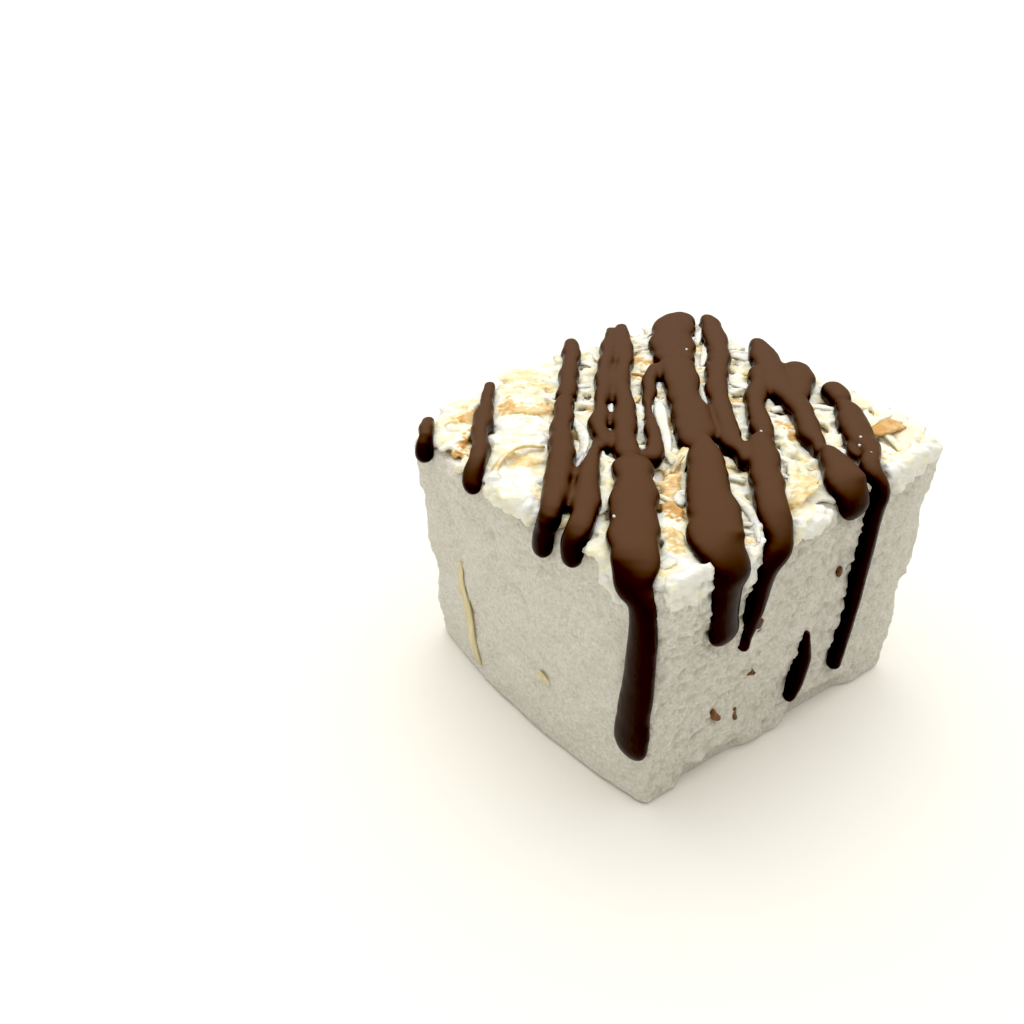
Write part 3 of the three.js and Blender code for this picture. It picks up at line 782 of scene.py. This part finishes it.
ON_BED = {"rise": 1.2, "half_height": 1.4}
ON_SIDE = {"rise": 0.55, "half_height": 1.15}
RIM_LIFT = 1.2  # a run turns over the rim this far above the cut sides
TALLEST = 1.1  # half its height never passes this many half widths

# Each run: "top" lists [along the drizzle, across it, width] over the coconut, "front" lists
# [x, height, width] down the front side and "right" lists [y, height, width] down the right side. A run that
# fell last lies on the others, raised by "over".
RUNS = [
    # thin runs that end on the front rim
    {"top": [[-2.4, -31.5, 1.8], [2.2, -31.6, 2.2]], "front": [[-17, 32.7, 2.1]]},
    {"top": [
        [-12.2, -24, 1.4], [-8.9, -24.1, 1.9], [-3, -24.5, 2.4], [3, -24.8, 2.5], [8.7, -25, 2.7],
    ], "front": [[-6.5, 33.2, 2.6]]},
    {"top": [
        [-8.6, -13.5, 1.2], [-5.4, -14, 3.1], [0.1, -14.4, 2.6], [4.6, -14.9, 3.4], [14.6, -15.8, 3.2],
        [19.6, -16.7, 2.7],
    ], "front": [[4.7, 30.4, 2.6]], "over": 0.3},
    {"top": [[-25.2, -11.9, 1.8], [-22.3, -12.1, 2.8], [-12.1, -13.1, 2.7], [-7, -13.7, 3]]},
    {"top": [
        [2.8, -10.2, 1.2], [6.6, -10.9, 1.7], [12.6, -12.2, 3], [17.6, -12.9, 3.2], [22.1, -13.8, 3.1],
    ], "front": [[9.4, 31.7, 2.3]]},
    # a pair that touch and part again, and the broad run they feed, with its long drip by the corner
    {"top": [
        [-28.9, -5.6, 1.8], [-25.9, -5.9, 2.6], [-19.5, -7, 2.9], [-15.9, -7.8, 2.3], [-12.6, -8, 2.7],
        [-8.9, -8.4, 2.7], [-6.2, -9.1, 1.9], [-2.4, -9.6, 2.3], [1.6, -9.9, 2.6], [5.1, -9, 1.6],
    ]},
    {"top": [
        [-30.2, -4.1, 2], [-26.7, -4, 2.6], [-18.8, -4.7, 3], [-16.1, -5, 2.4], [-13, -5.9, 2.6],
        [-8.9, -5.9, 2.9], [-5.3, -6, 2.7], [-1.4, -6.4, 3.2], [2.6, -7, 3.6], [8.6, -7, 2.8],
    ]},
    {"top": [
        [8, -6.6, 4.4], [10, -6.7, 5], [13.6, -7, 5.1], [21.8, -8, 5.6], [27.6, -8.6, 5.3],
    ], "front": [[18.9, 32, 3.4], [19.3, 24, 3.9], [18.9, 16, 4.6], [18.7, 8.6, 5.4]], "over": 0.4},
    {"top": [[9.2, -8.2, 2], [9.2, -5, 2]], "over": 0.5},
    # the broadest run, from the back corner, with a thin branch in front and a narrower run behind
    {"top": [
        [-17, -0.1, 2.4], [-13.4, -1.5, 2.2], [-9.8, -2.2, 2.2], [-7.1, -2.6, 1.4], [-3.4, -2.9, 1.2],
        [0.1, -3.2, 2], [4.6, -3.5, 2.2], [8.6, -4.4, 2.2],
    ]},
    {"top": [[-34.5, 6.1, 2.9], [-32.8, 5.7, 4.9], [-30.2, 4.3, 6.5], [-22.3, 2.9, 6.7], [-16.4, 2.6, 5.2]]},
    {"top": [
        [-19, 2.8, 4], [-16.4, 2.6, 5.4], [-8.9, 2.2, 4.7], [1.6, 1.9, 5.2], [6.1, 0.8, 2.6],
    ], "over": 0.35},
    {"top": [
        [-33.8, 9.5, 1.6], [-31.1, 9.9, 3], [-25.9, 9.8, 3.5], [-18.8, 9.1, 3.4], [-13.4, 7.8, 3.3],
        [-8, 6.8, 3.2], [4.6, 6.4, 2.8], [9.1, 7.2, 2.2],
    ]},
    # two that run over the right rim
    {"top": [
        [3.2, 2.6, 1.6], [6.6, 2.4, 3.8], [10.6, 1.8, 4.9], [15.6, 1.1, 5.2], [20.8, 0.9, 6], [24.6, 0.3, 6],
    ], "right": [[-15.2, 31.8, 4.3], [-14.6, 27, 3.9], [-13.9, 23.6, 4.8]], "over": 0.5},
    {"top": [
        [2.4, 9.6, 2.2], [4.8, 9.6, 4], [8.6, 8.9, 4.1], [19.6, 7.4, 3.6],
    ], "right": [[-9.2, 31.5, 2.8], [-9.7, 28, 2.4], [-10.1, 22.2, 1.1], [-10.5, 20.4, 1.7]], "over": 0.3},
    {"top": [[-16.1, 14, 2.6], [-11.7, 13.1, 3.2], [-8, 11.8, 2.8], [0.6, 10.6, 2.8], [4.6, 10, 2.6]]},
    # a lobed run from the back rim, and the fat drop it leads to
    {"top": [
        [-25.2, 15.7, 1.8], [-21.5, 15.6, 3.7], [-12.6, 15.7, 5.2], [-8.9, 16.2, 4.6], [-4.9, 16.9, 3],
        [3.1, 16.5, 3], [7.1, 16.4, 1.6],
    ]},
    {"top": [[-17.7, 19.1, 3.4], [-15.2, 19.3, 4], [-12.6, 18.9, 4.2], [-9.8, 18, 3.6], [-6.7, 17.1, 2.6]]},
    {"top": [
        [5.2, 16.8, 1.4], [8.2, 17.1, 3.3], [10.8, 17.3, 4.4], [13.2, 17.2, 4.9],
    ], "right": [[5.2, 32.2, 4.6]], "over": 0.3},
    # short runs near the right corner, the long thin drip below them, and a drop that fell short of it
    {"top": [[-11.7, 22.7, 2.2], [-9.4, 23, 3.3], [-5.8, 23, 3.2]]},
    {"top": [
        [-6.4, 22.7, 2.4], [-3.4, 22.9, 3.6], [-0.4, 22.5, 4.1], [3.1, 22.3, 3.8], [6.8, 22.2, 2.8],
        [10, 21.2, 2.4],
    ], "right": [[10.4, 31, 2.4], [10.4, 22, 2.2], [10.2, 15, 2], [9.5, 6.6, 1.8]]},
    {"top": [[7.8, 20.6, 1.1], [5.8, 20.4, 1.4], [3.8, 21.2, 1.4]]},
    {"right": [[1.8, 17.2, 0.7], [2.1, 12.5, 2.1], [1.7, 9, 2.2], [1, 5.4, 1.4]]},
]

UP, FORWARD, RIGHTWARD = np.array([0.0, 0, 1]), np.array([0.0, -1, 0]), np.array([1.0, 0, 0])
RING = 18  # points round a run
RING_STEP = 0.4  # mean distance between rings, mm
FEWEST_RINGS = 6
FINE_STEPS = 30  # steps to a knot with which a run's length is measured
NEARBY = 0.002  # share of a run between a ring and the places that give its direction
# below 1 the section is flatter on top and fuller at its shoulders: on the bed it spread, on a side it hangs
SQUARENESS = {"bed": 0.78, "side": 0.95}
# the edges wander in and out by up to about half of this reach, slowly and quickly
EDGE_WANDER = [{"reach": 0.5, "size": 3.2}, {"reach": 0.14, "size": 1.3}]
SIDE_WANDER = 0.4  # a drip on a smooth side wanders this much as far
# how far apart in the noise two runs, and the two edges of one, are read
WANDER_APART = {"runs": 7.3, "edges": 0.8}


def on_bed(along, across, width, over):
    return over_bed(along, across, ON_BED["rise"] + over), UP, width, ON_BED["half_height"]


def on_side(side, along, height, width):
    out = FORWARD if side == "front" else RIGHTWARD
    return side_place(side, along, height, ON_SIDE["rise"]), out, width, ON_SIDE["half_height"]


def run_knots(run):
    """A run's knots from its bed to its side, with one more where it turns over the rim."""
    bed = [on_bed(*knot, run.get("over", 0)) for knot in run.get("top", [])]
    side = "front" if "front" in run else "right"
    down = [on_side(side, *knot) for knot in run.get(side, [])]
    if bed and down:
        last, first = bed[-1], down[0]
        runs = SIDES[side][2]
        middle = (last[0][runs] + first[0][runs]) / 2
        at, out, width, half_height = on_side(side, middle, CUT_HEIGHT + RIM_LIFT, (last[2] + first[2]) / 2)
        over = (out + UP) / np.linalg.norm(out + UP)
        bed.append((at, over, width, half_height))
    return bed + down


def read_off(at, marks, rows):
    """The row at a place among the marks that the rows stand at."""
    return np.array([np.interp(at, marks, column) for column in rows.T])


def drawn_out(knots, seed, ring=RING, step=RING_STEP):
    """Points and faces of a ball drawn out along the knots, oval in section and round at both ends."""
    places, outs, widths, half_heights = (np.array(column) for column in zip(*knots))
    fine = np.linspace(0, 1, FINE_STEPS * len(knots))
    route = np.array([curve_point(places, t) for t in fine])
    travelled = np.concatenate([[0], np.cumsum(np.linalg.norm(np.diff(route, axis=0), axis=1))])
    length = travelled[-1]
    count = max(FEWEST_RINGS, round(length / step))
    knot_share = np.linspace(0, 1, len(knots))
    points = []
    for i in range(1, count):
        distance = length * (1 - math.cos(math.pi * i / count)) / 2
        t = np.interp(distance, travelled, fine)
        middle = read_off(distance, travelled, route)
        ahead = curve_point(places, min(1, t + NEARBY))
        behind = curve_point(places, max(0, t - NEARBY))
        forward = (ahead - behind) / np.linalg.norm(ahead - behind)
        out = read_off(t, knot_share, outs)
        across = np.cross(out, forward)
        across /= np.linalg.norm(across)
        upward = np.cross(forward, across)
        half = np.interp(t, knot_share, widths) / 2
        tall = min(np.interp(t, knot_share, half_heights), TALLEST * half)
        missing = max(0, 1 - min(distance, length - distance) / half)
        roundness = math.sqrt(max(0, 1 - missing ** 2))
        flatness = max(0, out[2])
        squareness = between(SQUARENESS["side"], SQUARENESS["bed"], flatness)
        wandering = between(SIDE_WANDER, 1, flatness)
        for j in range(ring):
            turn = math.tau * j / ring
            c, s = math.cos(turn), math.sin(turn)
            own_noise = (seed * WANDER_APART["runs"], c * WANDER_APART["edges"])
            wander = sum(
                scale["reach"] * noise.noise(Vector((distance / scale["size"], *own_noise)))
                for scale in EDGE_WANDER
            )
            wide = (half + wandering * wander) * math.copysign(abs(c) ** squareness, c)
            high = tall * math.copysign(abs(s) ** squareness, s)
            points.append(middle + roundness * (across * wide + upward * high))
    faces = tube_faces(0, count - 1, ring)
    points += [route[0], route[-1]]
    tip, tail, last = len(points) - 2, len(points) - 1, (count - 2) * ring
    for j in range(ring):
        after = (j + 1) % ring
        faces.append([tip, after, j])
        faces.append([tail, last + j, last + after])
    return points, faces


def gathered(shapes):
    """Several shapes' points and faces as one list of each."""
    points, faces = [], []
    for shape_points, shape_faces in shapes:
        faces += [[len(points) + corner for corner in face] for face in shape_faces]
        points += list(shape_points)
    return points, faces


# Dark chocolate, melted and set in the open: smooth and satin rather than mirror bright. Flat parts are dull
# and painted a lit, milky brown; steep parts are glossier and painted nearly black, as painted shade.
# painted light on the flat tops, and painted shade on the steep faces
CHOCOLATE_PAINTED_LIT = "#5A3F2C"
CHOCOLATE_PAINTED_SHADE = "#220A04"
SKIN_SIZE = 1.2  # mm, of the soft ripples in it
chocolate, tree = empty_material("set_dark_chocolate")
place = add_node(tree, "TexCoord").outputs["Object"]
# painted light and shade: the flat tops are painted a lit brown, the steep faces nearly black as shade
steepness = add_node(tree, "Attribute", attribute_name="steep").outputs["Fac"]
brown = add_node(tree, "MixRGB", {
    "Fac": steepness, "Color1": linear(CHOCOLATE_PAINTED_LIT), "Color2": linear(CHOCOLATE_PAINTED_SHADE),
})
satin = add_node(tree, "MapRange", {"Value": steepness, "To Min": 0.42, "To Max": 0.26})
skin = add_node(tree, "TexNoise", {"Vector": place, "Scale": per_metre(SKIN_SIZE), "Detail": 2.0})
skin_bump = add_node(tree, "Bump", {"Height": skin, "Strength": 0.15, "Distance": 0.08 * MM})
shader = add_node(tree, "BsdfPrincipled", {
    "Base Color": brown, "Roughness": satin, "IOR": 1.46, "Specular IOR Level": 0.08, "Normal": skin_bump,
})
add_node(tree, "OutputMaterial", {"Surface": shader})

VOXEL = 0.275  # mm, small enough to keep the slits between runs
SETTLE_PASSES = 6  # smoothing, which fills the joints between runs as melted chocolate does
SAG = {"height": 0.12, "size": 4.0}  # where a run sank between the flakes
RIPPLES = {"height": 0.3, "size": SAG["size"] / 2.6, "shift": 40}  # on the sag, and a share of its height
SIDE_SAG = 0.4  # a drip on a smooth side is this much as uneven
OVER_RIM = (CUT_HEIGHT - 1, CUT_HEIGHT + 2)  # heights between which a drip turns into a run on top
STEEP = (0.95, 0.15)  # how far up a face points, from the flattest to the steepest that count


def sag(points):
    on_top = between(SIDE_SAG, 1, smooth_step(*OVER_RIM, points[:, 2]))
    return SAG["height"] * on_top * (lumps(points, SAG["size"]) + raised(points, RIPPLES))


runs = add_piece("chocolate_drizzle", *gathered([
    drawn_out(run_knots(run), seed) for seed, run in enumerate(RUNS)
]), chocolate)
melted = join_skin(runs, VOXEL, SETTLE_PASSES, sag)
# painted light and shade: each point's steepness, which sets how dark it is painted
mark_points(melted, "steep", smooth_step(*STEEP, skin_of(melted)[1][:, 2]))
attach(runs, "root")
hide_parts("marshmallow")

# Splashes that fell on the right side: thin chocolate dots and smears, orange brown in the patches where they
# are thinnest. Each is given as [y, height, length, width, lean from upright].
SPECKS = [
    [6.4, 23.9, 1.3, 1.3, 0.0], [-7.5, 15.2, 1.3, 1.0, -1.0], [-12.0, 10.2, 2.0, 1.1, -0.5],
    [-8.3, 8.3, 2.7, 1.0, -0.35], [4.3, 3.6, 1.0, 0.6, -0.3], [-7.4, 22.4, 1.9, 1.1, -0.2],
]
SPECK_HALF_HEIGHT = 0.3
SPECK_PROUD = 0.14  # they stand this far out of the cut
SPECK_TAPER = [(-0.5, 0.6), (0, 1), (0.5, 0.7)]  # [share of its length, share of its width]
SPECK_RING = 12
SPECK_STEP = 0.12
CHOCOLATE_THICK = "#4A2A0E"
CHOCOLATE_THIN = "#7C4A18"
THIN_PATCH = 0.8  # mm
thin_chocolate, tree = empty_material("thin_chocolate")
place = add_node(tree, "TexCoord").outputs["Object"]
patches = add_node(tree, "TexNoise", {"Vector": place, "Scale": per_metre(THIN_PATCH), "Detail": 2.0})
thin_share = add_node(tree, "MapRange", {"Value": patches, "From Min": 0.4, "From Max": 0.6})
splash_colour = add_node(tree, "MixRGB", {
    "Fac": thin_share, "Color1": linear(CHOCOLATE_THICK), "Color2": linear(CHOCOLATE_THIN),
})
shader = add_node(tree, "BsdfPrincipled", {"Base Color": splash_colour, "Roughness": 0.4, "IOR": 1.46})
add_node(tree, "OutputMaterial", {"Surface": shader})


def speck_knots(y, height, length, width, lean):
    knots = []
    for share, narrowed in SPECK_TAPER:
        along = share * length
        at = foam_at("right", y + along * math.sin(lean), height + along * math.cos(lean))
        knots.append((at + SPECK_PROUD * RIGHTWARD, RIGHTWARD, width * narrowed, SPECK_HALF_HEIGHT))
    return knots


specks = add_piece("chocolate_specks", *gathered([
    drawn_out(speck_knots(*speck), seed, SPECK_RING, SPECK_STEP) for seed, speck in enumerate(SPECKS)
]), thin_chocolate)
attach(specks, "root")
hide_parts("marshmallow")

# ---- A shred in the front side ----
# One long shred of coconut was folded into the foam, with a small fleck beside it. The knife laid both bare.
# The foam's damp has turned them yellow, and their fibres show paler along them.

# [x, height] of places along each
SHRED = [[-12.1, 19.0], [-12.1, 15.0], [-11.5, 11.5], [-10.5, 8.0], [-9.7, 5.0], [-9.0, 2.4]]
SHRED_WIDTH = 1.9
FLECK = [[3.4, 10.9], [5.3, 10.1]]
FLECK_WIDTH = 1.3
SHRED_PROUD = 0.2  # they stand this far out of the cut
SHRED_RAGGED = 0.05
DAMP_COCONUT = "#D9C893"
DAMP_FIBRE = "#EFE4C0"
damp_flesh, tree = empty_material("damp_coconut")
place = add_node(tree, "TexCoord").outputs["Object"]
upright_cells = add_node(tree, "VectorMath", {
    0: place, 1: (1, 1, FIBRE["width"] / FIBRE["length"]),
}, operation="MULTIPLY")
fibres = add_node(tree, "TexNoise", {
    "Vector": upright_cells, "Scale": per_metre(FIBRE["width"] * 2), "Detail": 3.0,
})
fibre_share = add_node(tree, "MapRange", {"Value": fibres, "From Min": 0.35, "From Max": 0.65})
damp_colour = add_node(tree, "MixRGB", {
    "Fac": fibre_share, "Color1": linear(DAMP_COCONUT), "Color2": linear(DAMP_FIBRE),
})
shader = add_node(tree, "BsdfPrincipled", {
    "Base Color": damp_colour, "Roughness": 0.5, "IOR": 1.45, "Specular IOR Level": 0.3,
    "Subsurface Weight": 0.6, "Subsurface Radius": (1.0, 0.9, 0.6), "Subsurface Scale": 0.5 * MM,
})
add_node(tree, "OutputMaterial", {"Surface": shader})

random.seed(5)
in_front = Shavings()
for places, width in ((SHRED, SHRED_WIDTH), (FLECK, FLECK_WIDTH)):
    knots = [foam_at("front", *place) + SHRED_PROUD * FORWARD for place in places]
    in_front.add(curved(knots), width, SHRED_THICKNESS, 0.0, 0.0, FORWARD, SHRED_RAGGED)
buried_shred = in_front.piece("buried_shred", damp_flesh)
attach(buried_shred, "root")
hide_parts("marshmallow")

# ---- Table top, light and camera ----
# A plain pale table top in a white room, lit softly from above and a little from the left, and a camera
# close in front of the cube.

TABLE_PALE = "#F4F2EA"
TABLE_SIZE = 12000.0  # mm across
table_paint, tree = empty_material("pale_table_top")
shader = add_node(tree, "BsdfPrincipled", {
    "Base Color": linear(TABLE_PALE), "Roughness": 0.7, "IOR": 1.4, "Specular IOR Level": 0.2,
})
add_node(tree, "OutputMaterial", {"Surface": shader})
table_corners = BOX_CENTRE + TABLE_SIZE / 2 * np.array([(-1, -1, 0), (1, -1, 0), (1, 1, 0), (-1, 1, 0)])
table = add_piece("table_top", table_corners, [[0, 1, 2, 3]], table_paint)

# The whole ceiling glows, brightest overhead and dim towards the walls.
CEILING_FROM = (-0.17, 0.1, 0.96)
CEILING_STRENGTH = 2.95
CEILING_SPREAD = 3.0  # the higher, the sooner it fades from overhead
WALL_STRENGTH = 0.14
LIGHT_TINT = (1.0, 0.99, 0.965, 1)
world = bpy.data.worlds.new("soft_room")
world.use_nodes = True
tree = world.node_tree
tree.nodes.clear()
way = add_node(tree, "TexCoord")
overhead = add_node(tree, "VectorMath", {
    0: way.outputs["Generated"], 1: Vector(CEILING_FROM).normalized(),
}, operation="DOT_PRODUCT")
above = add_node(tree, "Math", {0: overhead.outputs["Value"], 1: 0.0}, operation="MAXIMUM")
faded = add_node(tree, "Math", {0: above, 1: CEILING_SPREAD}, operation="POWER")
strength = add_node(tree, "Math", {
    0: faded, 1: CEILING_STRENGTH, 2: WALL_STRENGTH,
}, operation="MULTIPLY_ADD")
glow = add_node(tree, "Background", {"Color": LIGHT_TINT, "Strength": strength})
add_node(tree, "OutputWorld", {"Surface": glow})
bpy.context.scene.world = world

LENS_LENGTH = 30.0  # mm
FRAME_WIDTH = 36.0  # mm
NEAREST = 0.005  # metres in front of the camera from which things show
CAMERA_PLACE = np.array([62.884, -74.703, 88.335])
CAMERA_TURN = math.radians(52.436)
CAMERA_TILT = math.radians(34.361)
camera_data = bpy.data.cameras.new("camera")
camera_data.lens = LENS_LENGTH
camera_data.sensor_width = FRAME_WIDTH
camera_data.clip_start = NEAREST
camera = bpy.data.objects.new("camera", camera_data)
camera.location = (CAMERA_PLACE - BOX_CENTRE) * MM
camera.rotation_euler = (math.pi / 2 - CAMERA_TILT, 0, CAMERA_TURN)
bpy.context.scene.collection.objects.link(camera)
bpy.context.scene.camera = camera
view = bpy.context.scene.view_settings
view.view_transform = "Standard"
view.use_curve_mapping = True
BLACK_LEVEL = 0.015
view.curve_mapping.black_level = (BLACK_LEVEL, BLACK_LEVEL, BLACK_LEVEL)
view.curve_mapping.update()
